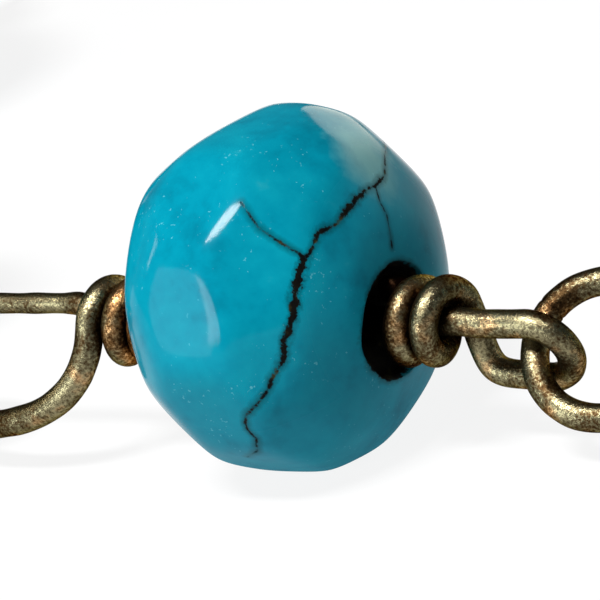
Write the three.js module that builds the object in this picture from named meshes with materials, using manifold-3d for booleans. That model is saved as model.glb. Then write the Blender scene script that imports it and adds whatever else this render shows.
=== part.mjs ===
// A gemstone chain bracelet lying closed on a table: seven faceted turquoise beads, each on its own
// piece of wire with a wrapped loop at both ends, joined by round rings and closed by a hook clasp.
// Millimetres, +Z up. The origin is at the middle of the bracelet's underside.
import * as THREE from 'three';
import { ConvexGeometry } from 'three/addons/geometries/ConvexGeometry.js';
import { mergeVertices } from 'three/addons/utils/BufferGeometryUtils.js';
import Module from 'manifold-3d';

// Wire links
const WIRE_DIAMETER = 0.8;
const WIRE_HEIGHT = 4.07; // of every drilled hole above the table
const WRAP_RADIUS = 0.88; // of the wraps' centre line
const WRAP_PITCH = 0.88;
const FIRST_WRAP = 3.58; // from the bead's middle to the cut end's turn
const HOOK_SLACK = 0.3; // free play between a ring and the end of a loop
// Reach is from the bead's middle to the outside of the loop, radius is of the loop's centre line, and
// lift is how far its straight side rises off the drilled line. Rise, drift, cross and sweep shape the
// bend from the wraps to the loop.
const LEFT_END = {
  turns: 2.83,
  hand: 1,
  reach: 12.8,
  radius: 1.7,
  lift: 0.48,
  rise: 3.1,
  drift: 0.2,
  cross: 0.7,
  sweep: 0.25,
};
const RIGHT_END = {
  turns: 2.2,
  hand: -1,
  reach: 9.2,
  radius: 1,
  lift: -0.11,
  rise: 2.35,
  drift: 0.3,
  cross: 0.1,
  sweep: 2.4,
};
const SWEEP_CROSS = 0.25; // of the bend, where it comes level with the loop
const CORE_BEND = { start: -0.1, middle: 0.5, end: 1.1 }; // of the straight side, from the last wrap

// Rings and clasp
const RING_OUTER = 4.7;
const END_RING_OUTER = 7;
const END_RING_WIRE = 1;
const CLASP_WIRE = 1.2;
const CLASP_EYE_RADIUS = 1.7; // of the eye's centre line
const CLASP_HOOK_RADIUS = 2;
const CLASP_SHANK = 9; // from the eye's middle to the hook's middle
const CLASP_TIP = 2.6; // straight end of the hook
const CLASP_LIP = { along: 0.9, out: 0.6 }; // turned-out end of the tip
const CLASP_PLAY = 0.1; // between the clasp and the rings in it

// The oval on which every hooking point stands
const OVAL_RATIO = 1.16; // length to width
const OVAL_START = -104; // where the first link begins, in degrees

// Beads
const BORE_RADIUS = 0.62;
const RECESS_MOUTH = 1.62;
const RECESS_FLOOR = 1.48;
const RECESS_DEPTH_AT = 3; // the recess floor, from the bead's middle
const END_FACE = 0.95; // of the bead's half thickness
const FACETS_ROUND = 10;
// The fullness is how far out a row stands, as a share of an ellipse's radius and half thickness.
const FACET_ROWS = [
  { tilt: 0, stagger: 0, fullness: 1 },
  { tilt: 38, stagger: 0.5, fullness: 1.04 },
  { tilt: -38, stagger: 0.5, fullness: 1.03 },
  { tilt: 68, stagger: 0, fullness: 1.02 },
  { tilt: -68, stagger: 0, fullness: 0.96 },
];
const FACET_SHAKE = { tilt: 3, roll: 4, depth: 0.1 }; // unevenness of hand cutting

// One row a link. Rolls are degrees from the bracelet's outer side upwards: they say to which side each
// loop lies. The bead's aside is how far its middle lies from the wire towards the outer side.
const LINKS = [
  { leftRoll: -68, rightRoll: -109, beadRadius: 4.9, beadHalf: 4, aside: -0.34 },
  { leftRoll: -130, rightRoll: -90, beadRadius: 4.6, beadHalf: 3.9, aside: 0.2 },
  { leftRoll: -90, rightRoll: -60, beadRadius: 4.95, beadHalf: 4.1, aside: 0.1 },
  { leftRoll: -75, rightRoll: 180, beadRadius: 4.6, beadHalf: 3.7, aside: -0.2 },
  { leftRoll: 180, rightRoll: -100, beadRadius: 4.85, beadHalf: 3.9, aside: 0.3 },
  { leftRoll: -90, rightRoll: -120, beadRadius: 4.7, beadHalf: 4.1, aside: -0.1 },
  { leftRoll: -110, rightRoll: -70, beadRadius: 4.9, beadHalf: 3.8, aside: 0.25 },
];
const CLASP_AFTER = 4; // links before the clasp

// Two deeper cuts on the first bead, on its left shoulder and on its front, laid as the facets are.
const DEEPER_CUTS = [
  { tilt: -33, roll: 100, depth: 4.43 },
  { tilt: 38, roll: 34, depth: 4.54 },
];

// One row a ring, in order round the bracelet. The lean turns it from upright (0) to flat (90) about the
// line between its two loops, and the sag is how far its middle hangs off that line.
const JOINTS = [
  { lean: -42, sag: 0.33 },
  { lean: 90, sag: -0.2 },
  { lean: 65, sag: 0 },
  { lean: 0, sag: 0 },
  { lean: 0, sag: 0 },
  { lean: 90, sag: 0 },
  { lean: 115, sag: 0 },
  { lean: 65, sag: 0 },
];

// Fineness of the facets
const WIRE_SIDES = 6;
const STEPS_A_TURN = 9;
const RING_SIDES = 7;
const RING_STEPS = 14;
const BORE_SIDES = 14;

const TAU = 2 * Math.PI;
const wasm = await Module();
wasm.setup();

const turquoise = new THREE.MeshStandardMaterial({ color: 0x1691b4, roughness: 0.25, metalness: 0 });
const brass = new THREE.MeshStandardMaterial({ color: 0x7d6a45, roughness: 0.45, metalness: 1 });

function named(name, geometry, material) {
  const mesh = new THREE.Mesh(geometry, material);
  mesh.name = name;
  return mesh;
}

// Unit vector across a link, from the bracelet's outer side (roll 0) upwards (roll 90).
function across(roll) {
  const angle = THREE.MathUtils.degToRad(roll);
  return new THREE.Vector3(0, -Math.cos(angle), Math.sin(angle));
}

// ---- Wire swept through a list of points, which lie closer where the wire bends tighter
class WireRoute extends THREE.Curve {
  constructor(points) {
    super();
    this.points = points;
  }

  getPoint(t) {
    const last = this.points.length - 1;
    const place = Math.min(Math.max(t, 0), 1) * last;
    const from = Math.min(Math.floor(place), last - 1);
    return new THREE.Vector3().lerpVectors(this.points[from], this.points[from + 1], place - from);
  }

  getPointAt(t) {
    return this.getPoint(t);
  }

  getTangentAt(t) {
    return this.getTangent(t);
  }

  getSpacedPoints() {
    return this.points;
  }
}

function sweptWire(points, diameter) {
  const section = new THREE.Shape();
  for (let side = 0; side < WIRE_SIDES; side++) {
    const angle = (TAU * side) / WIRE_SIDES;
    const corner = [(diameter / 2) * Math.cos(angle), (diameter / 2) * Math.sin(angle)];
    if (side === 0) section.moveTo(...corner);
    else section.lineTo(...corner);
  }
  section.closePath();
  const route = new WireRoute(points);
  return new THREE.ExtrudeGeometry(section, {
    steps: points.length - 1,
    extrudePath: route,
    bevelEnabled: false,
  });
}

// ---- One end of a wire link, from the cut end through the wraps and the loop to the core. Each point
// is [out along the wire, towards the loop's side, across the loop].
function endRoute({ turns, reach, radius, lift, rise, drift, cross, sweep }) {
  const points = [];
  const steps = Math.round(turns * STEPS_A_TURN);
  const lastWrap = FIRST_WRAP + turns * WRAP_PITCH;
  for (let step = 0; step <= steps; step++) {
    const angle = TAU * (0.25 + turns * (1 - step / steps));
    const out = FIRST_WRAP + (turns * WRAP_PITCH * step) / steps;
    points.push([out, WRAP_RADIUS * Math.cos(angle), WRAP_RADIUS * Math.sin(angle)]);
  }
  const bend = reach - WIRE_DIAMETER / 2 - radius;
  const farSide = 2 * radius - lift;
  const lead = new THREE.CubicBezierCurve3(
    new THREE.Vector3(lastWrap, 0, WRAP_RADIUS),
    new THREE.Vector3(lastWrap + drift, rise, cross),
    new THREE.Vector3(bend - sweep, farSide, SWEEP_CROSS),
    new THREE.Vector3(bend, farSide, 0),
  );
  for (const point of lead.getPoints(6).slice(1)) points.push(point.toArray());
  for (let step = 1; step <= 7; step++) {
    const angle = (Math.PI * step) / 7;
    const side = radius - lift + radius * Math.cos(angle);
    points.push([bend + radius * Math.sin(angle), side, 0]);
  }
  points.push([lastWrap + CORE_BEND.end, -lift, 0]);
  points.push([lastWrap + CORE_BEND.middle, -lift / 2, 0]);
  points.push([lastWrap + CORE_BEND.start, 0, 0]);
  return points;
}

function wireRoute(link) {
  const ends = [
    { end: LEFT_END, out: -1, roll: link.leftRoll },
    { end: RIGHT_END, out: 1, roll: link.rightRoll },
  ];
  const [left, right] = ends.map(({ end, out, roll }) => {
    const towards = across(roll);
    const over = across(roll + 90).multiplyScalar(end.hand);
    return endRoute(end).map(([along, side, cross]) =>
      new THREE.Vector3(out * along, 0, 0).addScaledVector(towards, side).addScaledVector(over, cross),
    );
  });
  return left.concat(right.reverse());
}

// ---- Beads: a solid bounded by flat facets, drilled through
function shake(bead, facet, kind) {
  const wave = Math.sin(bead * 12.9898 + facet * 78.233 + kind * 37.719) * 43758.5453;
  return 2 * (wave - Math.floor(wave)) - 1;
}

function facetNormal(tilt, roll) {
  const lean = THREE.MathUtils.degToRad(tilt);
  const normal = across(roll).multiplyScalar(Math.cos(lean));
  normal.x = Math.sin(lean);
  return normal;
}

function facetPlanes(link, bead) {
  const planes = [];
  const { beadRadius, beadHalf } = link;
  FACET_ROWS.forEach(({ tilt, stagger, fullness }, row) => {
    for (let facet = 0; facet < FACETS_ROUND; facet++) {
      const resting = row === 0 && facet === 0;
      const uneven = resting ? 0 : 1;
      const id = row * FACETS_ROUND + facet;
      const evenRoll = -90 + (360 * (facet + stagger)) / FACETS_ROUND;
      const normal = facetNormal(
        tilt + uneven * FACET_SHAKE.tilt * shake(bead, id, 1),
        evenRoll + uneven * FACET_SHAKE.roll * shake(bead, id, 2),
      );
      const depth = Math.hypot(beadRadius * Math.hypot(normal.y, normal.z), beadHalf * normal.x);
      const cutBack = uneven * FACET_SHAKE.depth * Math.max(0, shake(bead, id, 3));
      planes.push({ normal, distance: fullness * depth - cutBack });
    }
  });
  for (const end of [-1, 1]) {
    planes.push({ normal: new THREE.Vector3(end, 0, 0), distance: END_FACE * beadHalf });
  }
  for (const { tilt, roll, depth } of bead === 1 ? DEEPER_CUTS : []) {
    planes.push({ normal: facetNormal(tilt, roll), distance: depth });
  }
  return planes;
}

// Corners of the convex solid inside all the planes: each is where three planes meet and no other
// plane cuts it off.
function corners(planes) {
  const found = [];
  const matrix = new THREE.Matrix3();
  for (let i = 0; i < planes.length; i++) {
    for (let j = i + 1; j < planes.length; j++) {
      for (let k = j + 1; k < planes.length; k++) {
        const three = [planes[i], planes[j], planes[k]];
        matrix.set(...three.flatMap(({ normal }) => normal.toArray()));
        if (Math.abs(matrix.determinant()) < 1e-6) continue;
        const distances = new THREE.Vector3(...three.map(({ distance }) => distance));
        const corner = distances.applyMatrix3(matrix.invert());
        const inside = planes.every(({ normal, distance }) => normal.dot(corner) < distance + 1e-6);
        if (inside) found.push(corner);
      }
    }
  }
  return found;
}

function toSolid(geometry) {
  const bare = geometry.clone();
  bare.deleteAttribute('normal');
  bare.deleteAttribute('uv');
  const merged = mergeVertices(bare, 1e-4);
  return new wasm.Manifold(
    new wasm.Mesh({
      numProp: 3,
      vertProperties: Float32Array.from(merged.attributes.position.array),
      triVerts: Uint32Array.from(merged.index.array),
    }),
  );
}

function fromSolid(solid) {
  const { vertProperties, triVerts } = solid.getMesh();
  const geometry = new THREE.BufferGeometry();
  geometry.setAttribute('position', new THREE.BufferAttribute(vertProperties, 3));
  geometry.setIndex(new THREE.BufferAttribute(triVerts, 1));
  geometry.computeVertexNormals();
  return geometry;
}

// The drill: a plain bore that opens into a recess at both ends.
function drill(beadHalf) {
  const past = beadHalf + 1;
  const profile = [
    [0, -past],
    [RECESS_MOUTH, -past],
    [RECESS_MOUTH, -beadHalf],
    [RECESS_FLOOR, -RECESS_DEPTH_AT],
    [BORE_RADIUS, -RECESS_DEPTH_AT + 0.4],
    [BORE_RADIUS, RECESS_DEPTH_AT - 0.4],
    [RECESS_FLOOR, RECESS_DEPTH_AT],
    [RECESS_MOUTH, beadHalf],
    [RECESS_MOUTH, past],
    [0, past],
  ].map((point) => new THREE.Vector2(...point));
  const cutter = new THREE.LatheGeometry(profile, BORE_SIDES);
  return cutter.rotateZ(-Math.PI / 2);
}

function beadGeometry(link, bead) {
  const stone = new ConvexGeometry(corners(facetPlanes(link, bead)));
  const lift = link.beadRadius - WIRE_HEIGHT;
  stone.translate(0, -link.aside, lift);
  return fromSolid(toSolid(stone).subtract(toSolid(drill(link.beadHalf))));
}

// ---- Layout: the hooking points walk once round the oval
function ovalPoint(angle, width) {
  return new THREE.Vector3((OVAL_RATIO * width * Math.cos(angle)) / 2, (width * Math.sin(angle)) / 2, 0);
}

// Smallest value between low and high for which test is true, found by halving.
function firstTrue(low, high, test) {
  for (let round = 0; round < 60; round++) {
    const middle = (low + high) / 2;
    if (test(middle)) high = middle;
    else low = middle;
  }
  return high;
}

function walk(chords, width) {
  const angles = [THREE.MathUtils.degToRad(OVAL_START)];
  for (const chord of chords) {
    const from = angles.at(-1);
    const start = ovalPoint(from, width);
    const tooFar = (angle) => ovalPoint(angle, width).distanceTo(start) > chord;
    angles.push(firstTrue(from, from + Math.PI, tooFar));
  }
  return angles;
}

const RING_RADIUS = (RING_OUTER - WIRE_DIAMETER) / 2;
const END_RING_RADIUS = (END_RING_OUTER - END_RING_WIRE) / 2;

// Where a ring passes through a loop, from the link's middle.
function hookPoint({ reach, radius, lift }, out, roll) {
  const along = reach - 1.5 * WIRE_DIAMETER - HOOK_SLACK;
  return across(roll)
    .multiplyScalar(radius - lift)
    .add(new THREE.Vector3(out * along, 0, 0));
}

const spans = LINKS.map((link) => {
  const left = hookPoint(LEFT_END, -1, link.leftRoll);
  const right = hookPoint(RIGHT_END, 1, link.rightRoll);
  return { link, left, right };
});
const claspReach = CLASP_EYE_RADIUS - (CLASP_WIRE + WIRE_DIAMETER) / 2 - CLASP_PLAY;
const claspCatch = CLASP_HOOK_RADIUS - (CLASP_WIRE + END_RING_WIRE) / 2 - CLASP_PLAY;
spans.splice(CLASP_AFTER, 0, {
  left: new THREE.Vector3(-claspReach, 0, 0),
  right: new THREE.Vector3(CLASP_SHANK + claspCatch, 0, 0),
});

const chords = spans.flatMap(({ left, right }, index) => {
  const radius = index === CLASP_AFTER ? END_RING_RADIUS : RING_RADIUS;
  const acrossLink = Math.hypot(right.x - left.x, right.y - left.y);
  const acrossRing = 2 * Math.sqrt(radius ** 2 - JOINTS[index].sag ** 2);
  return [acrossLink, acrossRing];
});
const fullTurn = THREE.MathUtils.degToRad(OVAL_START) + TAU;
const width = firstTrue(30, 90, (guess) => walk(chords, guess).at(-1) < fullTurn);
const hooks = walk(chords, width).map((angle) => ovalPoint(angle, width));

const bracelet = new THREE.Group();
const placed = spans.map(({ link, left, right }, index) => {
  const from = hooks[2 * index];
  const to = hooks[2 * index + 1];
  const ownHeading = Math.atan2(right.y - left.y, right.x - left.x);
  const heading = Math.atan2(to.y - from.y, to.x - from.x) - ownHeading;
  const group = new THREE.Group();
  group.rotation.z = heading;
  const offset = left.clone().setZ(0).applyEuler(group.rotation);
  group.position.subVectors(from, offset).setZ(WIRE_HEIGHT);
  group.updateMatrixWorld();
  bracelet.add(group);
  return {
    link,
    group,
    left: left.clone().applyMatrix4(group.matrixWorld),
    right: right.clone().applyMatrix4(group.matrixWorld),
  };
});

// ---- Links
placed
  .filter(({ link }) => link)
  .forEach(({ link, group }, index) => {
    group.add(named(`bead_${index + 1}`, beadGeometry(link, index + 1), turquoise));
    group.add(named(`wire_link_${index + 1}`, sweptWire(wireRoute(link), WIRE_DIAMETER), brass));
  });

// ---- Clasp: an eye, a straight shank and a hook with a turned-out tip, bent from one wire
function claspRoute() {
  const points = [];
  for (let step = 0; step <= 10; step++) {
    const angle = THREE.MathUtils.degToRad(-40 - 27 * step);
    points.push(new THREE.Vector3(CLASP_EYE_RADIUS * Math.cos(angle), CLASP_EYE_RADIUS * Math.sin(angle), 0));
  }
  for (let step = 0; step <= 8; step++) {
    const angle = THREE.MathUtils.degToRad(90 - 22.5 * step);
    const along = CLASP_SHANK + CLASP_HOOK_RADIUS * Math.cos(angle);
    points.push(new THREE.Vector3(along, CLASP_HOOK_RADIUS * Math.sin(angle), 0));
  }
  const tip = new THREE.Vector3(CLASP_SHANK - CLASP_TIP, -CLASP_HOOK_RADIUS, 0);
  const lip = tip.clone().add(new THREE.Vector3(-CLASP_LIP.along, -CLASP_LIP.out, 0));
  points.push(tip, lip);
  return points;
}
placed[CLASP_AFTER].group.add(named('hook_clasp', sweptWire(claspRoute(), CLASP_WIRE), brass));

// ---- Rings, each through the loops on both sides of it
let ringNumber = 0;
placed.forEach((before, index) => {
  const after = placed[(index + 1) % placed.length];
  const { lean, sag } = JOINTS[index];
  const along = new THREE.Vector3().subVectors(after.left, before.right).normalize();
  const side = new THREE.Vector3(0, 0, 1).addScaledVector(along, -along.z).normalize();
  side.applyAxisAngle(along, THREE.MathUtils.degToRad(lean));
  const axis = new THREE.Vector3().crossVectors(along, side);
  const atClasp = index === CLASP_AFTER;
  const wire = atClasp ? END_RING_WIRE : WIRE_DIAMETER;
  const radius = atClasp ? END_RING_RADIUS : RING_RADIUS;
  const name = atClasp ? 'end_ring' : `jump_ring_${++ringNumber}`;
  const ring = named(name, new THREE.TorusGeometry(radius, wire / 2, RING_SIDES, RING_STEPS), brass);
  ring.quaternion.setFromRotationMatrix(new THREE.Matrix4().makeBasis(along, side, axis));
  ring.position.addVectors(before.right, after.left).multiplyScalar(0.5).addScaledVector(side, -sag);
  bracelet.add(ring);
});

// ---- The origin goes to the middle of the underside
const box = new THREE.Box3().setFromObject(bracelet, true);
const middle = box.getCenter(new THREE.Vector3());
bracelet.position.set(-middle.x, -middle.y, -box.min.z);

export default bracelet;
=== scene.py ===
import bpy
import numpy as np
from mathutils import Matrix, Vector


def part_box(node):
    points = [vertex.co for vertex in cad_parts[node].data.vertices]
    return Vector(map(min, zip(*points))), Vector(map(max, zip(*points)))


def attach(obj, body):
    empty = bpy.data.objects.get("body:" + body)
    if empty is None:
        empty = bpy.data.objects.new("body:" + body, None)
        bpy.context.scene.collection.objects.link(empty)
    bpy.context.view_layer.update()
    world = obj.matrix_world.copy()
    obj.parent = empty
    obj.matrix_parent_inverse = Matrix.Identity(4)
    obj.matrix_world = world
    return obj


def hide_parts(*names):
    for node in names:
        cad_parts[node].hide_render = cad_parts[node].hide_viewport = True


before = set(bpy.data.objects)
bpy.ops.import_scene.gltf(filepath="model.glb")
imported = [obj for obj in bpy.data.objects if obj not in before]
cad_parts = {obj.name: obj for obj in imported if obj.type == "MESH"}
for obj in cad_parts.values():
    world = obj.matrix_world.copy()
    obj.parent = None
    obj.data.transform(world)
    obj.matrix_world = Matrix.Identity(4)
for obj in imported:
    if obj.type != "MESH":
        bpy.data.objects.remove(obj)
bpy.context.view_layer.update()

# ---- Wire links
# Seven lengths of 0.8 mm brass wire, each drawn through one bead. Both ends are bent round into a loop,
# wrapped back round the wire's own core and cut off inside the drilled recess. The rolls say to which side
# of the core each loop lies, counted from the bracelet's outer side upwards.
# Lengths are in millimetres and angles in degrees.
MM = 0.001
WIRE_RADIUS = 0.4
WIRE_HEIGHT = 4.07
WRAP_RADIUS = 0.88
WRAP_PITCH = 0.88
FIRST_WRAP = 3.58
HOOK_SLACK = 0.3
SWEEP_CROSS = 0.25
CORE_OVERLAP = 0.8
CORE_BEND = (-0.1, 1.1)
WRAP_POINTS = 240
BEND_POINTS = 80
LEFT_END = dict(
    turns=2.83, hand=1, reach=12.8, radius=1.7, lift=0.48, rise=3.1, drift=0.2, cross=0.7, sweep=0.25,
)
RIGHT_END = dict(
    turns=2.2, hand=-1, reach=9.2, radius=1, lift=-0.11, rise=2.35, drift=0.3, cross=0.1, sweep=2.4,
)
LINKS = [
    dict(left_roll=-68, right_roll=-109, bead_radius=4.9, bead_half=4, aside=-0.34),
    dict(left_roll=-130, right_roll=-90, bead_radius=4.6, bead_half=3.9, aside=0.2),
    dict(left_roll=-90, right_roll=-60, bead_radius=4.95, bead_half=4.1, aside=0.1),
    dict(left_roll=-75, right_roll=180, bead_radius=4.6, bead_half=3.7, aside=-0.2),
    dict(left_roll=180, right_roll=-100, bead_radius=4.85, bead_half=3.9, aside=0.3),
    dict(left_roll=-90, right_roll=-120, bead_radius=4.7, bead_half=4.1, aside=-0.1),
    dict(left_roll=-110, right_roll=-70, bead_radius=4.9, bead_half=3.8, aside=0.25),
]


def across(roll):
    """Unit vectors across a link: roll 0 is the bracelet's outer side and roll 90 is up."""
    angle = np.radians(roll)
    return np.stack([np.zeros_like(angle), -np.cos(angle), np.sin(angle)], -1)


def end_route(turns, hand, reach, radius, lift, rise, drift, cross, sweep):
    """One end of a link from its cut end: a helix of wraps, a cubic curve out to the loop, half a circle
    round the loop, and the straight core, which eases back on to the drilled line under the wraps. Each
    point is out along the wire, towards the loop's side, and across the loop."""
    last = FIRST_WRAP + turns * WRAP_PITCH
    part = np.linspace(0, 1, WRAP_POINTS)
    angle = 2 * np.pi * (0.25 + turns * (1 - part))
    wraps = np.stack([
        FIRST_WRAP + turns * WRAP_PITCH * part,
        WRAP_RADIUS * np.cos(angle),
        WRAP_RADIUS * np.sin(angle),
    ], -1)
    bend = reach - WIRE_RADIUS - radius
    far_side = 2 * radius - lift
    handles = np.array([
        [last, 0, WRAP_RADIUS],
        [last + drift, rise, cross],
        [bend - sweep, far_side, SWEEP_CROSS],
        [bend, far_side, 0],
    ])
    part = np.linspace(0, 1, BEND_POINTS)[1:]
    rest = 1 - part
    weights = np.stack([rest**3, 3 * rest**2 * part, 3 * rest * part**2, part**3], -1)
    lead = weights @ handles
    angle = np.linspace(0, np.pi, BEND_POINTS)[1:]
    loop = np.stack([
        bend + radius * np.sin(angle),
        radius - lift + radius * np.cos(angle),
        np.zeros_like(angle),
    ], -1)
    out = np.linspace(bend, last - CORE_OVERLAP, BEND_POINTS)[1:]
    part = np.clip((out - last - CORE_BEND[0]) / (CORE_BEND[1] - CORE_BEND[0]), 0, 1)
    core = np.stack([out, -lift * part**2 * (3 - 2 * part), np.zeros_like(out)], -1)
    return np.concatenate([wraps, lead, loop, core])


def wire_route(link):
    """The whole wire in its link's own axes, from the left cut end to the right one."""
    halves = []
    for end, way, roll in ((LEFT_END, -1, link["left_roll"]), (RIGHT_END, 1, link["right_roll"])):
        axes = np.stack([[way, 0, 0], across(roll), end["hand"] * across(roll + 90)])
        halves.append(end_route(**end) @ axes)
    return np.concatenate([halves[0], halves[1][::-1]])


# The links lie in a closed oval. Every point where a loop hooks a ring stands on it, and the oval's width
# is the one that closes the walk round all the links, the rings and the clasp.
OVAL_RATIO = 1.16
OVAL_WIDTHS = (30, 90)
HALVINGS = 50
OVAL_START = np.radians(-104)
RING_RADIUS = 1.95
END_RING_RADIUS = 3
END_RING_WIRE_RADIUS = 0.5
CLASP_WIRE_RADIUS = 0.6
CLASP_EYE_RADIUS = 1.7
CLASP_HOOK_RADIUS = 2
CLASP_SHANK = 9
CLASP_PLAY = 0.1
CLASP_AFTER = 4
RINGS = [
    dict(name="jump_ring_1", lean=-42, sag=0.33),
    dict(name="jump_ring_2", lean=90, sag=-0.2),
    dict(name="jump_ring_3", lean=65, sag=0),
    dict(name="jump_ring_4", lean=0, sag=0),
    dict(name="end_ring", lean=0, sag=0),
    dict(name="jump_ring_5", lean=90, sag=0),
    dict(name="jump_ring_6", lean=115, sag=0),
    dict(name="jump_ring_7", lean=65, sag=0),
]


def hook_point(end, way, roll):
    """Where a ring passes through a loop, in the link's own axes."""
    out = end["reach"] - 3 * WIRE_RADIUS - HOOK_SLACK
    return across(roll) * (end["radius"] - end["lift"]) + np.array([way * out, 0, 0])


def oval_point(angle, width):
    return np.array([OVAL_RATIO * width / 2 * np.cos(angle), width / 2 * np.sin(angle), 0])


def first_true(low, high, test):
    """Smallest value between low and high for which the test holds, found by halving."""
    for _ in range(HALVINGS):
        middle = (low + high) / 2
        if test(middle):
            high = middle
        else:
            low = middle
    return high


def walk(chords, width):
    """Angles on the oval of the points that lie one chord after another round it."""
    angles = [OVAL_START]
    for chord in chords:
        start = oval_point(angles[-1], width)
        reached = lambda angle: np.linalg.norm(oval_point(angle, width) - start) > chord
        angles.append(first_true(angles[-1], angles[-1] + np.pi, reached))
    return angles


spans = [
    dict(
        link=link,
        left=hook_point(LEFT_END, -1, link["left_roll"]),
        right=hook_point(RIGHT_END, 1, link["right_roll"]),
    )
    for link in LINKS
]
clasp_reach = CLASP_EYE_RADIUS - CLASP_WIRE_RADIUS - WIRE_RADIUS - CLASP_PLAY
clasp_catch = CLASP_HOOK_RADIUS - CLASP_WIRE_RADIUS - END_RING_WIRE_RADIUS - CLASP_PLAY
spans.insert(CLASP_AFTER, dict(
    link=None,
    left=np.array([-clasp_reach, 0, 0]),
    right=np.array([CLASP_SHANK + clasp_catch, 0, 0]),
))
chords = []
for span, ring in zip(spans, RINGS):
    ring["radius"] = END_RING_RADIUS if ring["name"] == "end_ring" else RING_RADIUS
    ring["wire"] = END_RING_WIRE_RADIUS if ring["name"] == "end_ring" else WIRE_RADIUS
    step = span["right"] - span["left"]
    chords += [np.hypot(step[0], step[1]), 2 * np.sqrt(ring["radius"] ** 2 - ring["sag"] ** 2)]
oval_width = first_true(*OVAL_WIDTHS, lambda width: walk(chords, width)[-1] < OVAL_START + 2 * np.pi)
hooks = [oval_point(angle, oval_width) for angle in walk(chords, oval_width)]
for number, span in enumerate(spans):
    start, end = hooks[2 * number], hooks[2 * number + 1]
    step = span["right"] - span["left"]
    heading = np.arctan2(end[1] - start[1], end[0] - start[0]) - np.arctan2(step[1], step[0])
    span["turn"] = np.array(Matrix.Rotation(heading, 3, "Z"))
    span["place"] = start - span["turn"] @ (span["left"] * [1, 1, 0])
    span["place"][2] = WIRE_HEIGHT
for number, (span, ring) in enumerate(zip(spans, RINGS)):
    after = spans[(number + 1) % len(spans)]
    leaving = span["turn"] @ span["right"] + span["place"]
    arriving = after["turn"] @ after["left"] + after["place"]
    ring["along"] = (arriving - leaving) / np.linalg.norm(arriving - leaving)
    upright = np.array([0, 0, 1]) - ring["along"][2] * ring["along"]
    upright /= np.linalg.norm(upright)
    lean = np.radians(ring["lean"])
    ring["side"] = np.cos(lean) * upright + np.sin(lean) * np.cross(ring["along"], upright)
    ring["place"] = (leaving + arriving) / 2 - ring["side"] * ring["sag"]
# The frame's origin is at the middle of the underside, and a ring's box is centred on the ring.
origin = np.mean(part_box(RINGS[0]["name"]), axis=0) / MM - RINGS[0]["place"]


# A swept path is softened over SOFTENING and its cut ends are worn over CUT_WEAR. Two turns of a wire make a
# crevice where they are closer than CREVICE_GAP, and NEXT_TURN tells a turn from the stretch beside it.
WAVES = 14
TOOL_RIPPLE = dict(seed=3, height=0.0015, shortest=0.5, longest=1.8)
SOFTENING = 0.12
CUT_WEAR = 0.12
CREVICE_GAP = 0.3
NEXT_TURN = 0.7


def surface(name, grid, rows_meet=False):
    """A mesh of quads over a grid of points in millimetres. Its columns meet. Its rows meet too, or else
    one flat face closes each end. The faces are turned outwards by the sign of the volume inside."""
    rows, columns = grid.shape[:2]
    index = np.arange(rows * columns).reshape(rows, columns)
    above = np.roll(index, -1, axis=0)
    quads = np.stack([index, np.roll(index, -1, axis=1), np.roll(above, -1, axis=1), above], -1)
    faces = quads if rows_meet else quads[:-1]
    faces = faces.reshape(-1, 4)
    points = grid.reshape(-1, 3)
    corner = points[faces]
    normals = np.cross(corner[:, 2] - corner[:, 0], corner[:, 3] - corner[:, 1])
    outwards = np.sum(normals * (corner.mean(1) - points.mean(0))) > 0
    ends = [] if rows_meet else [index[0][::-1], index[-1]]
    if not outwards:
        faces = faces[:, ::-1]
        ends = [end[::-1] for end in ends]
    mesh = bpy.data.meshes.new(name)
    mesh.from_pydata(points * MM, [], faces.tolist() + [end.tolist() for end in ends])
    mesh.shade_smooth()
    piece = bpy.data.objects.new(name, mesh)
    bpy.context.scene.collection.objects.link(piece)
    return piece


def ripple(points, seed, height, shortest, longest):
    """Slow waves over a surface, in millimetres: a sum of sines in random directions."""
    draw = np.random.default_rng(seed)
    ways = draw.normal(size=(WAVES, 3))
    ways *= (2 * np.pi / draw.uniform(shortest, longest, WAVES) / np.linalg.norm(ways, axis=1))[:, None]
    return height * np.sin(points @ ways.T + draw.uniform(0, 2 * np.pi, WAVES)).sum(-1)


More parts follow.
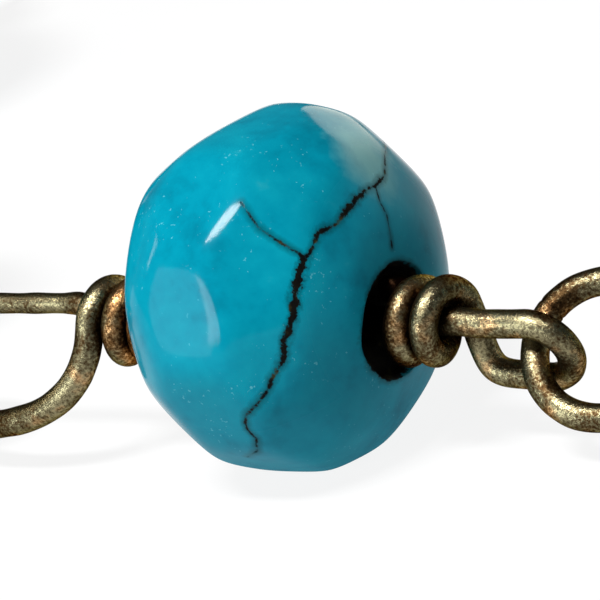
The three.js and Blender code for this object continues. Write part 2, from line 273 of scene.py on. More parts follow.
def swept_wire(name, route, radius, step, sides, gauge=None, closed=False):
    """A round section carried along a path. The path is sampled at equal steps and softened by a short
    running average, and the section's first direction follows it without twisting. Gauge is the section's
    size at each point of the path, as a share of the radius."""
    path = np.concatenate([route, route[:1]]) if closed else route
    gauge = np.ones(len(route)) if gauge is None else gauge
    gauge = np.append(gauge, gauge[0]) if closed else gauge
    passed = np.concatenate([[0], np.cumsum(np.linalg.norm(np.diff(path, axis=0), axis=1))])
    count = int(passed[-1] / step)
    share = np.linspace(0, 1, count, endpoint=not closed)
    path = np.stack([np.interp(share * passed[-1], passed, path[:, axis]) for axis in range(3)], -1)
    if closed:
        tangent = np.roll(path, -1, axis=0) - np.roll(path, 1, axis=0)
    else:
        reach = max(1, int(SOFTENING / step))
        padded = np.pad(path, ((reach, reach), (0, 0)), mode="reflect", reflect_type="odd")
        window = np.hanning(2 * reach + 3)[1:-1]
        window /= window.sum()
        path = np.stack([np.convolve(padded[:, axis], window, "valid") for axis in range(3)], -1)
        tangent = np.gradient(path, axis=0)
    tangent /= np.linalg.norm(tangent, axis=1, keepdims=True)
    side = np.empty_like(tangent)
    # Any direction does to start from, so long as the wire doesn't run along it.
    carried = np.cross(tangent[0], [0.3, 0.2, 0.9])
    for station, way in enumerate(tangent):
        carried = carried - way * (carried @ way)
        carried = carried / np.linalg.norm(carried)
        side[station] = carried
    other = np.cross(tangent, side)
    size = radius * np.interp(share * passed[-1], passed, gauge)
    if not closed:
        # The cut ends are flat, with a burr worn round.
        near = np.minimum(share, 1 - share) * passed[-1] / CUT_WEAR
        size *= np.sqrt(np.clip(1 - 0.5 * np.clip(1 - near, 0, 1) ** 2, 0, 1))
    angle = np.linspace(0, 2 * np.pi, sides, endpoint=False)
    ring = np.cos(angle)[None, :, None] * side[:, None] + np.sin(angle)[None, :, None] * other[:, None]
    grid = path[:, None] + size[:, None, None] * ring
    grid = grid + ripple(grid, **TOOL_RIPPLE)[..., None] * ring
    piece = surface(name, grid, rows_meet=closed)
    # Crevice is how deep each spot lies between this turn of the wire and the turns beside it.
    crevice = np.zeros(grid.shape[:2])
    if not closed:
        passed = share * passed[-1]
        for station, here in enumerate(passed):
            others = path[abs(passed - here) > 3 * radius + NEXT_TURN][::2]
            gap = np.linalg.norm(grid[station][:, None] - others[None], axis=-1).min(1) - radius
            crevice[station] = np.clip(1 - gap / CREVICE_GAP, 0, 1)
    layer = piece.data.attributes.new("crevice", "FLOAT", "POINT")
    layer.data.foreach_set("value", crevice.ravel())
    return piece


def paint(code):
    """Linear colour of an sRGB hex value."""
    value = np.array([int(code[place : place + 2], 16) for place in (1, 3, 5)]) / 255
    linear = np.where(value <= 0.04045, value / 12.92, ((value + 0.055) / 1.055) ** 2.4)
    return (*linear.tolist(), 1)


def add(tree, kind, sockets=None, **settings):
    """Adds a node. Settings are its own fields, and sockets gives inputs a value or an output to link."""
    made = tree.nodes.new(kind)
    for field, value in settings.items():
        setattr(made, field, value)
    for place, value in (sockets or {}).items():
        if isinstance(value, bpy.types.NodeSocket):
            tree.links.new(value, made.inputs[place])
        else:
            made.inputs[place].default_value = value
    return made


def ramp(tree, factor, stops):
    """A colour ramp with one stop for each (place, colour)."""
    made = add(tree, "ShaderNodeValToRGB", {"Fac": factor})
    steps = made.color_ramp.elements
    while len(steps) < len(stops):
        steps.new(0.5)
    for step, (place, colour) in zip(steps, stops):
        step.position = place
        step.color = colour
    return made.outputs["Color"]


def new_material(name):
    made = bpy.data.materials.new(name)
    made.use_nodes = True
    made.node_tree.nodes.clear()
    return made, made.node_tree


def grey(value):
    return (value, value, value, 1)


# Drawn brass wire, antiqued in liver of sulphur and rubbed back: nearly black between the wraps, brown in its
# pits, a grey olive where the patina holds, and pale where it is rubbed bare, with painted shade darkening
# the turns inside the bead's recess. Patches are copper pink, most of all where the last wraps rub on the
# stone. It is pitted, so its highlights break up into specks.
def antique_brass(name):
    made, tree = new_material(name)
    place = add(tree, "ShaderNodeTexCoord").outputs["Object"]
    patches = add(tree, "ShaderNodeTexNoise", {"Vector": place, "Scale": 1 / (1.2 * MM), "Detail": 3})
    grain = add(tree, "ShaderNodeTexNoise", {
        "Vector": place, "Scale": 1 / (0.10 * MM), "Detail": 5, "Roughness": 0.68,
    })
    bare = add(tree, "ShaderNodeMath", {0: patches.outputs["Fac"], 1: 0.4, 2: 0.0}, operation="MULTIPLY_ADD")
    bare = add(tree, "ShaderNodeMath", {0: grain.outputs["Fac"], 1: 0.6, 2: bare.outputs[0]},
               operation="MULTIPLY_ADD")
    # Crevice darkens the metal: dark patina between the wraps, and painted shade on the turns inside the
    # bead's recess.
    crevice = add(tree, "ShaderNodeAttribute", attribute_name="crevice").outputs["Fac"]
    bare = add(tree, "ShaderNodeMath", {0: crevice, 1: -0.15, 2: bare.outputs[0]},
               operation="MULTIPLY_ADD").outputs[0]
    metal = ramp(tree, bare, [
        (0.30, paint("#120d07")),
        (0.42, paint("#3f2e1a")),
        (0.49, paint("#625b44")),
        (0.60, paint("#928969")),
    ])
    rubbed = add(tree, "ShaderNodeAttribute", attribute_name="rubbed").outputs["Fac"]
    warm = add(tree, "ShaderNodeTexNoise", {"Vector": place, "Scale": 1 / (0.7 * MM), "Detail": 4})
    warm = add(tree, "ShaderNodeMath", {0: rubbed, 1: 0.3, 2: warm.outputs["Fac"]}, operation="MULTIPLY_ADD")
    warm = ramp(tree, warm.outputs[0], [(0.55, grey(0)), (0.69, grey(0.5)), (0.81, grey(1))])
    copper = ramp(tree, bare, [(0.38, paint("#24130a")), (0.48, paint("#7d5731")), (0.58, paint("#d09e6c"))])
    colour = add(tree, "ShaderNodeMix", {"Factor": warm, "A": metal, "B": copper}, data_type="RGBA")
    rough = ramp(tree, bare, [(0.40, grey(0.42)), (0.55, grey(0.24))])
    bump = add(tree, "ShaderNodeBump", {
        "Height": grain.outputs["Fac"], "Strength": 0.9, "Distance": 0.024 * MM,
    })
    shader = add(tree, "ShaderNodeBsdfPrincipled", {
        "Base Color": colour.outputs["Result"], "Metallic": 1.0, "Roughness": rough,
        "Specular Tint": paint("#8a8270"),
        "Normal": bump.outputs["Normal"],
    })
    add(tree, "ShaderNodeOutputMaterial", {"Surface": shader.outputs["BSDF"]})
    return made


brass_wire = antique_brass("antiqued_brass_wire")


def finish(piece, material, slot, *nodes):
    piece.data.materials.append(material)
    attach(piece, "root")
    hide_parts(*nodes)


def placed(span, points):
    """Points in a link's own axes, carried to where the link lies."""
    return points @ span["turn"].T + span["place"] + origin


# The straight side of each left loop was drawn thinner by the pliers. The wraps nearest the bead are rubbed
# to copper, more at the left end, and the turns inside the bead's recess are darkened as painted shade.
THINNED = 0.27
THIN_FROM = 6.4
THIN_OVER = 1.2
STRAIGHT_SIDE = 1.2
RUBBED_TO = 5.7
RIGHT_END_RUBBED = 0.15
RECESS_SHADE_TO = 4.5
RECESS_SHADE_OVER = 0.6
RECESS_SHADE_BY = 2
FINE_SWEEP = dict(step=0.06, sides=32)
PLAIN_SWEEP = dict(step=0.11, sides=18)

beaded = [span for span in spans if span["link"]]
for number, span in enumerate(beaded, 1):
    route = wire_route(span["link"])
    along, side = route[:, 0], route @ across(span["link"]["left_roll"])
    straight = np.clip((-along - THIN_FROM) / THIN_OVER, 0, 1) * np.clip(STRAIGHT_SIDE - side, 0, 1)
    wire = swept_wire(
        f"wrapped_wire_{number}",
        placed(span, route),
        WIRE_RADIUS,
        gauge=1 - THINNED * straight,
        **(FINE_SWEEP if number == 1 else PLAIN_SWEEP),
    )
    points = np.empty(len(wire.data.vertices) * 3, np.float32)
    wire.data.vertices.foreach_get("co", points)
    points = (points.reshape(-1, 3) / MM - span["place"] - origin) @ span["turn"]
    from_bead = abs(points[:, 0])
    rubbed = np.clip(RUBBED_TO - from_bead, 0, 1) * np.where(points[:, 0] < 0, 1, RIGHT_END_RUBBED)
    layer = wire.data.attributes.new("rubbed", "FLOAT", "POINT")
    layer.data.foreach_set("value", rubbed)
    crevice = np.empty(len(points), np.float32)
    wire.data.attributes["crevice"].data.foreach_get("value", crevice)
    # Painted shade: the turns inside the bead's recess are darkened through the crevice value.
    painted_recess_shade = np.clip((RECESS_SHADE_TO - from_bead) / RECESS_SHADE_OVER, 0, 1) * RECESS_SHADE_BY
    wire.data.attributes["crevice"].data.foreach_set("value", np.maximum(crevice, painted_recess_shade))
    finish(wire, brass_wire, "antique_brass", f"wire_link_{number}")

# ---- Rings
# Seven jump rings of the same wire join the loops, and a wider ring of 1 mm wire takes the clasp's hook.
# Each is bent round a rod and sawn through, and its two ends butt together in a fine seam.
SEAM_AT = 0.37
SEAM_WIDTH = 0.035
SEAM_DEPTH = 0.07
HOOP_POINTS = 400
HOOP_STEPS = 260
HOOP_SIDES = 28

for ring in RINGS:
    share = np.linspace(0, 1, HOOP_POINTS, endpoint=False)
    angle = 2 * np.pi * share
    round_it = np.cos(angle)[:, None] * ring["along"] + np.sin(angle)[:, None] * ring["side"]
    length = 2 * np.pi * ring["radius"]
    hoop = swept_wire(
        ring["name"].replace("ring", "hoop"),
        ring["place"] + origin + ring["radius"] * round_it,
        ring["wire"],
        step=length / HOOP_STEPS,
        sides=HOOP_SIDES,
        gauge=1 - SEAM_DEPTH * np.exp(-(((share - SEAM_AT) * length / SEAM_WIDTH) ** 2)),
        closed=True,
    )
    finish(hoop, brass_wire, "antique_brass", ring["name"])

# ---- Clasp
# One length of 1.2 mm brass wire bent into an eye, a straight shank and a hook, whose tip turns out so
# that the end ring slides in.
CLASP_TIP = 2.6
CLASP_LIP = (0.9, 0.6)
EYE_ARC = (-40, -310)
BOW_ARC = (90, -90)

span = spans[CLASP_AFTER]
angle = np.radians(np.linspace(*EYE_ARC, 90))
eye = CLASP_EYE_RADIUS * np.stack([np.cos(angle), np.sin(angle), 0 * angle], -1)
angle = np.radians(np.linspace(*BOW_ARC, 70))
bow = CLASP_HOOK_RADIUS * np.stack([np.cos(angle), np.sin(angle), 0 * angle], -1) + [CLASP_SHANK, 0, 0]
tip = np.array([CLASP_SHANK - CLASP_TIP, -CLASP_HOOK_RADIUS, 0])
lip = tip + [-CLASP_LIP[0], -CLASP_LIP[1], 0]
clasp = swept_wire(
    "clasp_hook",
    placed(span, np.concatenate([eye, bow, [tip, lip]])),
    CLASP_WIRE_RADIUS,
    step=0.08,
    sides=30,
)
finish(clasp, brass_wire, "antique_brass", "hook_clasp")

# ---- Beads
# Seven rondelles of turquoise, each cut by hand into five rows of ten facets, drilled through and
# countersunk at both ends. Tumbling has softened the edges and left each facet a little domed: it is part
# of a large ball of DOME_RADIUS, raised by DOME_RISE. The facet that the bead rests on isn't raised.
FACETS_ROUND = 10
FACET_ROWS = [(0, 0, 1), (38, 0.5, 1.04), (-38, 0.5, 1.03), (68, 0, 1.02), (-68, 0, 0.96)]
SHAKE_TILT = 3
SHAKE_ROLL = 4
SHAKE_DEPTH = 0.1
END_FACE = 0.95
DEEPER_CUTS = [(-33, 100, 4.43), (38, 34, 4.54)]
BORE_RADIUS = 0.62
RECESS_MOUTH = 1.62
RECESS_FLOOR = 1.48
RECESS_TAPER = 0.12
RIM_UNEVEN = 0.035
RIM_ROUND = 0.04
RIM_SHADE_SPREAD = 0.02
EDGE_POWER = 48
DOME_RADIUS = 26
DOME_RISE = 0.05
POLISH_RIPPLE = dict(height=0.0022, shortest=1.5, longest=4)
# The recess from its rim inwards, as depth and how much wider than the taper. Then its floor and the bore,
# as place along the hole and radius.
RIM_PROFILE = [(0.0, 0.0), (0.06, 0.0), (0.16, -0.03), (0.4, -0.05)]
FLOOR_PROFILE = [(3.0, RECESS_FLOOR), (2.95, 1.2), (2.75, 0.8), (2.6, BORE_RADIUS), (1.3, BORE_RADIUS)]
# Share of the grid's columns and the roll there, and share of its rows and of the way from mouth to mouth.
CLOSER_COLUMNS = ([0, 0.7, 1], [-45, 140, 315])
CLOSER_ROWS = ([0, 0.34, 1], [0, 0.5, 1])
FINE_GRID = (236, 340)
PLAIN_GRID = (110, 180)
NEWTON_STEPS = 9
RIM_GUESS = 3.0
SKIN_GUESS = 4.0


def shake(bead, facet, kind):
    """A repeatable number from -1 to 1: the fraction of a large sine."""
    wave = np.sin(bead * 12.9898 + facet * 78.233 + kind * 37.719) * 43758.5453
    return 2 * (wave - np.floor(wave)) - 1


def facet_planes(link, bead):
    """Normals and distances, from the bead's middle, of the planes that its facets lie in."""
    radius, half = link["bead_radius"], link["bead_half"]
    normals, distances = [], []
    for row, (tilt, stagger, fullness) in enumerate(FACET_ROWS):
        facet = row * FACETS_ROUND + np.arange(FACETS_ROUND)
        uneven = facet > 0
        lean = np.radians(tilt + uneven * SHAKE_TILT * shake(bead, facet, 1))
        roll = -90 + 360 * (facet % FACETS_ROUND + stagger) / FACETS_ROUND
        roll = roll + uneven * SHAKE_ROLL * shake(bead, facet, 2)
        normal = across(roll) * np.cos(lean)[:, None]
        normal[:, 0] = np.sin(lean)
        depth = np.hypot(radius * np.cos(lean), half * np.sin(lean))
        normals.append(normal)
        shallow = SHAKE_DEPTH * np.maximum(0, shake(bead, facet, 3))
        distances.append(fullness * depth + uneven * (DOME_RISE - shallow))
    normals.append([[-1, 0, 0], [1, 0, 0]])
    distances.append([END_FACE * half] * 2)
    for tilt, roll, depth in DEEPER_CUTS if bead == 1 else []:
        cut = across(roll) * np.cos(np.radians(tilt))
        cut[0] = np.sin(np.radians(tilt))
        normals.append([cut])
        distances.append([depth + DOME_RISE])
    return np.concatenate(normals), np.concatenate(distances)


def cut_depth(points, planes):
    """How far out a point lies: 1 on the faceted surface. It is a high-power mean of the point's share of
    the distance to every facet, which rounds the edges. Each facet is a little domed, so its share grows
    with the square of the distance from the facet's middle. Also gives the slope."""
    normals, distances = planes
    ahead = points @ normals.T
    beside = (points**2).sum(-1)[..., None] - ahead**2
    share = np.maximum(0, (ahead + beside / (2 * DOME_RADIUS)) / distances)
    depth = (share**EDGE_POWER).sum(-1) ** (1 / EDGE_POWER)
    pull = (share / depth[..., None]) ** (EDGE_POWER - 1) / distances
    slope = (pull * (1 - ahead / DOME_RADIUS)) @ normals + pull.sum(-1)[..., None] * points / DOME_RADIUS
    return depth, slope


def cast(start, way, planes, reach):
    """How far from start, along way, the rounded surface lies, by Newton's method."""
    for _ in range(NEWTON_STEPS):
        depth, slope = cut_depth(start + reach[..., None] * way, planes)
        reach = reach + (1 - depth) / (slope * way).sum(-1)
    return reach


def bead_grid(link, bead, rows, columns):
    """The whole skin of a drilled bead in its link's own axes. Columns are rolls about the drilled line. Rows
    run over the outside from mouth to mouth, by their share of the angle between them, then down the right
    recess, through the bore, and up the left recess. Both stand closer over the outer, right-hand face."""
    planes = facet_planes(link, bead)
    middle = np.array([0, -link["aside"], link["bead_radius"] - WIRE_HEIGHT])
    roll = np.interp(np.linspace(0, 1, columns, endpoint=False), *CLOSER_COLUMNS)
    out = across(roll)
    # The mouth isn't quite round: it has three slow lobes and seven quicker ones.
    wave = np.sin(np.radians(roll) * 3 + bead) + 0.6 * np.sin(np.radians(roll) * 7 + 2 * bead)
    mouth = RECESS_MOUTH + RIM_UNEVEN * wave
    rims = []
    for way in (-1, 1):
        start = mouth[:, None] * out - middle
        rims.append(cast(start, np.array([way, 0, 0]), planes, np.full(columns, RIM_GUESS)) * way)
    low, high = (np.arctan2(rim, mouth + RIM_ROUND) for rim in rims)
    part = np.interp(np.linspace(0, 1, rows), *CLOSER_ROWS)[:, None]
    tilt = low + (high - low) * part
    way = np.cos(tilt)[..., None] * out + np.sin(tilt)[..., None] * np.array([1, 0, 0])
    reach = cast(-middle, way, planes, np.full(tilt.shape, SKIN_GUESS))
    skin = reach[..., None] * way
    skin = skin + ripple(skin, bead, **POLISH_RIPPLE)[..., None] * way
    inside = []
    for way, rim in ((1, rims[1]), (-1, rims[0])):
        half = [(rim - way * depth, mouth + wider - RECESS_TAPER * depth) for depth, wider in RIM_PROFILE]
        for along, radius in FLOOR_PROFILE:
            half.append((np.full(columns, way * along), np.full(columns, radius)))
        inside.append(half)
    middle_of_bore = [(np.zeros(columns), np.full(columns, BORE_RADIUS))]
    stations = inside[0] + middle_of_bore + inside[1][::-1]
    inside = np.stack([
        along[:, None] * np.array([1, 0, 0]) + radius[:, None] * out for along, radius in stations
    ])
    return np.concatenate([skin, inside]), middle


# Veins of dark iron matrix, charted as the facets are: tilt towards the bead's right end, roll, and width in
# millimetres. The first bead's face has a forked vein. The rest wander from a seeded start.
FACE_VEINS = [
    [(6, 128, 0.04), (12, 138, 0.05), (17, 143, 0.06), (25, 137, 0.05), (32, 131, 0.06), (38, 125, 0.06),
     (46, 118, 0.09), (48, 112, 0.17), (50, 104, 0.12), (50, 96, 0.14), (50, 84, 0.22), (50, 74, 0.20),
     (49, 61, 0.13), (44, 52, 0.23), (43, 43, 0.11), (42, 39, 0.18), (41, 37, 0.30), (39, 27, 0.27),
     (38, 18, 0.28), (36, 9, 0.22), (33, 3, 0.23), (31, -4, 0.18), (26, -9, 0.14), (24, -12, 0.10),
     (20, -15, 0.11), (14, -19, 0.08), (12, -22, 0.10), (11, -26, 0.09), (12, -30, 0.09), (9, -36, 0.07),
     (2, -41, 0.05)],
    [(41, 38, 0.12), (39, 40, 0.09), (34, 42, 0.10), (30, 44, 0.07), (26, 46, 0.09), (24, 47, 0.08),
     (20, 51, 0.07), (17, 54, 0.06)],
    [(50, 104, 0.08), (56, 101, 0.06), (61, 103, 0.07), (65, 101, 0.05), (69, 100, 0.08), (73, 98, 0.10)],
]


# The middle of each bead's chalky patch, charted the same way, and how far it spreads, in radians. On the
# first bead the patch is also a painted pale sheen, standing in for a reflection on the upper right.
CHALK_AND_SHEEN_SPOTS = [(40, 110), (-30, 40), (10, 150), (-45, -60), (35, 75), (-20, 120), (50, 20)]
CHALK_AND_SHEEN_SPREAD = 0.34
# A wandering vein: where it starts, how broad it is, how its breadth varies and tapers, how many points it
# and its forks have, how far its forks turn away, how much it wavers at each point, and its stride in tilt
# and in roll.
VEIN_TILTS = (-70, 70)
VEIN_WIDTHS = (0.1, 0.3)
VEIN_SHARE = (0.4, 1.2)
VEIN_TAPER = 0.7
VEIN_POINTS = (10, 26)
FORKS = 2
FORK_POINTS = (4, 10)
FORK_TURN = (0.7, 1.3)
VEIN_WAVER = 0.35
VEIN_STRIDE = (5, 6)
HIDDEN_ROLLS = (150, 260)
ALL_ROLLS = (-180, 180)
# What a spot has while no vein is near it: the gap to a vein, and a vein's breadth.
NO_VEIN = (9.0, 0.1)
# The dull areas are beneath and round the right hole: how fast the polish fades out, and from where.
DULL_BENEATH = (-1.3, -0.35)
DULL_AT_RIGHT = (2.2, -1.25)


def direction(tilt, roll):
    """Unit vectors from a bead's middle, by the tilt towards its right end and the roll."""
    tilt, roll = np.radians(tilt), np.radians(roll)
    return np.stack([np.sin(tilt), -np.cos(roll) * np.cos(tilt), np.sin(roll) * np.cos(tilt)], -1)


def wandering_veins(seed, count, rolls):
    """Veins that start at a random place between two rolls and drift over the bead, with short forks."""
    draw = np.random.default_rng(seed)
    veins = []
    for _ in range(count):
        tilt, roll = draw.uniform(*VEIN_TILTS), draw.uniform(*rolls)
        heading = draw.uniform(0, 2 * np.pi)
        width = draw.uniform(*VEIN_WIDTHS)
        for fork in range(1 + FORKS):
            points = []
            spot = [tilt, roll]
            course = heading + fork * draw.uniform(*FORK_TURN)
            steps = int(draw.integers(*(FORK_POINTS if fork else VEIN_POINTS)))
            for step in range(steps):
                narrowed = (1 - VEIN_TAPER * step / steps) / (1 + fork)
                points.append((*spot, width * draw.uniform(*VEIN_SHARE) * narrowed))
                course += draw.normal(0, VEIN_WAVER)
                spot = [spot[0] + VEIN_STRIDE[0] * np.cos(course), spot[1] + VEIN_STRIDE[1] * np.sin(course)]
            veins.append(points)
            if fork == 0:
                tilt, roll, _ = points[int(draw.integers(2, steps - 2))]
    return veins


def vein_distance(points, radius, veins):
    """Distance in millimetres from each point to the edge of the nearest vein, less than 0 inside it, and how
    broad that vein is there. Both are measured between directions from the bead's middle, times its
    radius."""
    ways = points / np.linalg.norm(points, axis=-1, keepdims=True)
    nearest, breadth = (np.full(ways.shape[:-1], value) for value in NO_VEIN)
    for vein in veins:
        tilt, roll, width = np.array(vein, float).T
        spots = direction(tilt, roll)
        for start, end, wide, narrow in zip(spots, spots[1:], width, width[1:]):
            step = end - start
            part = np.clip((ways - start) @ step / (step @ step), 0, 1)
            gap = np.linalg.norm(ways - start - part[..., None] * step, axis=-1) * radius
            across_it = wide + (narrow - wide) * part
            breadth = np.where(gap - across_it / 2 < nearest, across_it, breadth)
            nearest = np.minimum(nearest, gap - across_it / 2)
    return nearest, breadth


# Turquoise, cut, polished and waxed: an opaque blue-green stone with a glassy surface. Its colour clouds
# over a few millimetres, pale specks of softer stone show in it, and one grey-green patch is chalky; on the
# first bead that patch also stands in for a pale sheen, a painted reflection. The brown-black matrix is dull,
# lies a little lower and stains the stone dark green beside its broader veins, and the same dark is painted
# inside the drilled recesses as painted shade.
def turquoise(name):
    made, tree = new_material(name)
    place = add(tree, "ShaderNodeTexCoord").outputs["Object"]
    cloud = add(tree, "ShaderNodeTexNoise", {
        "Vector": place, "Scale": 1 / (3.2 * MM), "Detail": 7, "Roughness": 0.62, "Distortion": 0.4,
    })
    mottle = add(tree, "ShaderNodeTexNoise", {"Vector": place, "Scale": 1 / (0.45 * MM), "Detail": 4})
    cloud = add(tree, "ShaderNodeMath", {0: cloud.outputs["Fac"], 1: 0.8, 2: -0.05}, operation="MULTIPLY_ADD")
    cloud = add(tree, "ShaderNodeMath", {0: mottle.outputs["Fac"], 1: 0.3, 2: cloud.outputs[0]},
                operation="MULTIPLY_ADD")
    stone = ramp(tree, cloud.outputs[0], [
        (0.28, paint("#01596c")),
        (0.46, paint("#016c7f")),
        (0.64, paint("#047586")),
        (0.80, paint("#237e88")),
    ])
    fleck = add(tree, "ShaderNodeTexNoise", {"Vector": place, "Scale": 1 / (0.11 * MM), "Detail": 2})
    strewn = add(tree, "ShaderNodeTexNoise", {"Vector": place, "Scale": 1 / (1.3 * MM), "Detail": 2})
    fleck = add(tree, "ShaderNodeMath", {0: strewn.outputs["Fac"], 1: 0.45, 2: fleck.outputs["Fac"]},
                operation="MULTIPLY_ADD")
    fleck = ramp(tree, fleck.outputs[0], [(0.94, grey(0)), (1.0, grey(0.42))])
    stone = add(tree, "ShaderNodeMix", {"Factor": fleck, "A": stone, "B": paint("#5fa3ac")}, data_type="RGBA")
    # Chalky stone, and on the first bead a painted pale sheen, mixed in as a grey-green.
    chalk_and_sheen = add(tree, "ShaderNodeAttribute", attribute_name="chalk_and_sheen").outputs["Fac"]
    chalk_and_sheen_mix = add(tree, "ShaderNodeMath", {0: mottle.outputs["Fac"], 1: 0.5, 2: chalk_and_sheen},
                 operation="MULTIPLY_ADD")
    chalk_and_sheen_mix = ramp(tree, chalk_and_sheen_mix.outputs[0], [(0.35, grey(0)), (1.0, grey(0.55))])
    stone = add(tree, "ShaderNodeMix", {
        "Factor": chalk_and_sheen_mix, "A": stone.outputs["Result"], "B": paint("#6f9b96"),
    }, data_type="RGBA")
    # Vein is the gap to a vein's edge. Inside the recesses it also marks where painted shade goes.
    vein = add(tree, "ShaderNodeAttribute", attribute_name="vein").outputs["Fac"]
    jag = add(tree, "ShaderNodeTexNoise", {
        "Vector": place, "Scale": 1 / (0.24 * MM), "Detail": 6, "Roughness": 0.7,
    })
    ragged = add(tree, "ShaderNodeMath", {0: jag.outputs["Fac"], 1: -2.4, 2: 1.34}, operation="MULTIPLY_ADD")
    breadth = add(tree, "ShaderNodeAttribute", attribute_name="breadth").outputs["Fac"]
    ragged = add(tree, "ShaderNodeMath", {0: ragged.outputs[0], 1: breadth, 2: vein},
                 operation="MULTIPLY_ADD").outputs[0]
    matrix_and_recess_shade = add(tree, "ShaderNodeMapRange", {"Value": ragged, "From Min": 0.012, "From Max": -0.02})
    stain = add(tree, "ShaderNodeMapRange", {
        "Value": ragged, "From Min": 0.17, "From Max": 0.0, "To Max": 0.7,
    })
    seeped = add(tree, "ShaderNodeMath", {0: breadth, 1: 12.0}, operation="MULTIPLY", use_clamp=True)
    stain = add(tree, "ShaderNodeMath", {0: stain.outputs[0], 1: seeped.outputs[0]}, operation="MULTIPLY")
    stained = add(tree, "ShaderNodeMix", {
        "Factor": stain.outputs[0], "A": stone.outputs["Result"], "B": paint("#023439"),
    }, data_type="RGBA")
    iron_and_recess_shade = ramp(tree, mottle.outputs["Fac"], [
        (0.40, paint("#010101")),
        (0.56, paint("#0a0905")),
        (0.66, paint("#2b2712")),
        (0.76, paint("#0d4a4d")),
    ])
    colour = add(tree, "ShaderNodeMix", {
        "Factor": matrix_and_recess_shade.outputs[0], "A": stained.outputs["Result"], "B": iron_and_recess_shade,
    }, data_type="RGBA")
    dull = add(tree, "ShaderNodeAttribute", attribute_name="dull").outputs["Fac"]
    dull = add(tree, "ShaderNodeMath", {0: dull, 1: 0.75, 2: 0.11}, operation="MULTIPLY_ADD")
    dull = add(tree, "ShaderNodeMath", {0: chalk_and_sheen_mix, 1: 0.35, 2: dull.outputs[0]}, operation="MULTIPLY_ADD")
    rough = add(tree, "ShaderNodeMath", {0: matrix_and_recess_shade.outputs[0], 1: 0.4, 2: dull.outputs[0]},
                operation="MULTIPLY_ADD", use_clamp=True)
    fine = add(tree, "ShaderNodeTexNoise", {"Vector": place, "Scale": 1 / (0.35 * MM), "Detail": 4})
    sunk = add(tree, "ShaderNodeMath", {0: matrix_and_recess_shade.outputs[0], 1: -6.0, 2: fine.outputs["Fac"]},
               operation="MULTIPLY_ADD")
    bump = add(tree, "ShaderNodeBump", {"Height": sunk.outputs[0], "Strength": 0.25, "Distance": 0.006 * MM})
    shader = add(tree, "ShaderNodeBsdfPrincipled", {
        "Base Color": colour.outputs["Result"], "Roughness": rough.outputs[0], "IOR": 1.61,
        "Specular IOR Level": 0.05,
        "Normal": bump.outputs["Normal"],
    })
    add(tree, "ShaderNodeOutputMaterial", {"Surface": shader.outputs["BSDF"]})
    return made


turquoise_stone = turquoise("polished_turquoise")

for number, span in enumerate(beaded, 1):
    link = span["link"]
    if number == 1:
        grid, middle = bead_grid(link, number, *FINE_GRID)
        veins = FACE_VEINS + wandering_veins(seed=5, count=2, rolls=HIDDEN_ROLLS)
    else:
        grid, middle = bead_grid(link, number, *PLAIN_GRID)
        veins = wandering_veins(seed=10 + number, count=5, rolls=ALL_ROLLS)
    gap, breadth = vein_distance(grid - middle, link["bead_radius"], veins)
    # The recesses are painted dark in the matrix colour as painted shade, which spreads a little over their
    # rims.
    off_line = np.hypot(grid[..., 1], grid[..., 2])
    gap = np.minimum(gap, off_line - RECESS_MOUTH - RIM_SHADE_SPREAD)
    way = (grid - middle) / np.linalg.norm(grid - middle, axis=-1, keepdims=True)
    beneath = DULL_BENEATH[0] * way[..., 2] + DULL_BENEATH[1]
    at_right = DULL_AT_RIGHT[0] * way[..., 0] + DULL_AT_RIGHT[1]
    dull = np.clip(np.maximum(beneath, at_right), 0, 1)
    from_chalk_and_sheen = np.arccos(np.clip(way @ direction(*CHALK_AND_SHEEN_SPOTS[number - 1]), -1, 1))
    chalk_and_sheen = np.clip(1 - from_chalk_and_sheen / CHALK_AND_SHEEN_SPREAD, 0, 1)
    stone = surface(f"turquoise_rondelle_{number}", placed(span, grid), rows_meet=True)
    for layer_name, values in (("vein", gap), ("breadth", breadth), ("dull", dull), ("chalk_and_sheen", chalk_and_sheen)):
        layer = stone.data.attributes.new(layer_name, "FLOAT", "POINT")
        layer.data.foreach_set("value", values.ravel())
    finish(stone, turquoise_stone, "turquoise", f"bead_{number}")

# ---- Floor and light
# The bracelet lies on a light table, a sheet of opal acrylic lit from below. The key softbox stands up to
# the left, a weaker one, a panel and a strip stand at the left, and a wide one behind on the right.
FLOOR_HALF = 3
hero = beaded[0]
hero_middle = [0, -hero["link"]["aside"], hero["link"]["bead_radius"] - WIRE_HEIGHT]
hero_middle = placed(hero, np.array([hero_middle]))[0]

sheet, tree = new_material("backlit_opal_acrylic")
acrylic = add(tree, "ShaderNodeBsdfPrincipled", {
    "Base Color": paint("#4c4c4c"), "Roughness": 0.8, "Specular IOR Level": 0.0,
    "Emission Color": grey(1), "Emission Strength": 0.88,
})
add(tree, "ShaderNodeOutputMaterial", {"Surface": acrylic.outputs["BSDF"]})
floor_mesh = bpy.data.meshes.new("floor")
corners = [(x * FLOOR_HALF, y * FLOOR_HALF, 0) for x, y in ((-1, -1), (1, -1), (1, 1), (-1, 1))]
floor_mesh.from_pydata(corners, [], [(0, 1, 2, 3)])
floor = bpy.data.objects.new("floor", floor_mesh)
bpy.context.scene.collection.objects.link(floor)
floor.data.materials.append(sheet)

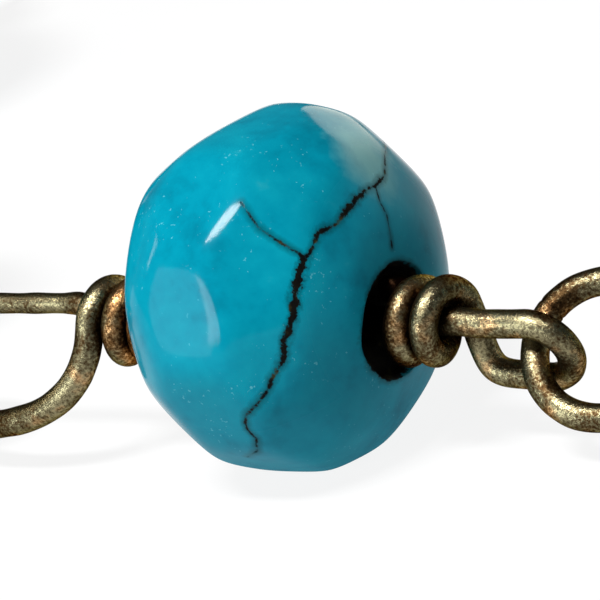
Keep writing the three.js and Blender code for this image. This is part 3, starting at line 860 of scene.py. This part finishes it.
# ---- Camera
# A long lens 300 mm from the first bead, 20 degrees above the table and turned 38 degrees round the link,
# with the picture's own tilt that brings the link level.
CAMERA_AWAY = 300
CAMERA_TURN = np.radians(38)
CAMERA_RISE = np.radians(20)
VIEW_WIDTH = 16.44
BEAD_LEFT = 0.384
BEAD_UP = 0.329
heading = np.arctan2(hero["turn"][1, 0], hero["turn"][0, 0]) + CAMERA_TURN
level = np.array(Matrix.Rotation(heading, 3, "Z"))
right = level @ [1, 0, 0]
forward = level @ [0, np.cos(CAMERA_RISE), -np.sin(CAMERA_RISE)]
up = level @ [0, np.sin(CAMERA_RISE), np.cos(CAMERA_RISE)]
tilt = np.arctan(np.tan(CAMERA_TURN) * np.sin(CAMERA_RISE))
right, up = np.cos(tilt) * right - np.sin(tilt) * up, np.sin(tilt) * right + np.cos(tilt) * up
aim = hero_middle + BEAD_LEFT * right - BEAD_UP * up
camera_data = bpy.data.cameras.new("camera")
camera_data.lens = camera_data.sensor_width * CAMERA_AWAY / VIEW_WIDTH
camera_data.clip_start = 0.01
camera_data.clip_end = 20
camera = bpy.data.objects.new("camera", camera_data)
pose = Matrix.Identity(4)
for column, axis in enumerate((right, up, -forward, (aim - forward * CAMERA_AWAY) * MM)):
    for row in range(3):
        pose[row][column] = axis[row]
camera.matrix_world = pose
bpy.context.scene.collection.objects.link(camera)
bpy.context.scene.camera = camera


def softbox(name, toward, away, width, height, power, colour):
    """An area light at that distance, in millimetres, from the first bead, facing it. Toward is given by the
    picture's right and up and the way to the camera."""
    way = np.array(toward) / np.linalg.norm(toward)
    place = hero_middle + away * (way[0] * right + way[1] * up - way[2] * forward)
    data = bpy.data.lights.new(name, "AREA")
    data.shape = "RECTANGLE"
    data.size = width * MM
    data.size_y = height * MM
    data.energy = power
    data.color = paint(colour)[:3]
    light = bpy.data.objects.new(name, data)
    light.location = place * MM
    light.rotation_euler = Vector(hero_middle - place).to_track_quat("-Z", "Y").to_euler()
    bpy.context.scene.collection.objects.link(light)


softbox("key_softbox", (-0.47, 0.62, 0.63), 420, 165, 68, 3.5, "#ffffff")
softbox("left_softbox", (-0.82, -0.20, 0.54), 420, 120, 110, 0.8, "#f4fbff")
softbox("left_panel", (-0.93, -0.22, 0.28), 420, 170, 160, 0.38, "#eefaff")
softbox("left_strip", (-0.93, 0.26, -0.22), 420, 60, 150, 0.25, "#fff6e6")
softbox("back_softbox", (0.52, 0.54, -0.66), 520, 560, 260, 1.4, "#fff3dd")

# The room round the table gives a dim grey light.
bpy.context.scene.view_settings.view_transform = "Standard"
world = bpy.data.worlds.new("studio")
bpy.context.scene.world = world
world.use_nodes = True
world.node_tree.nodes["Background"].inputs["Color"].default_value = paint("#8a8c90")
world.node_tree.nodes["Background"].inputs["Strength"].default_value = 0.35
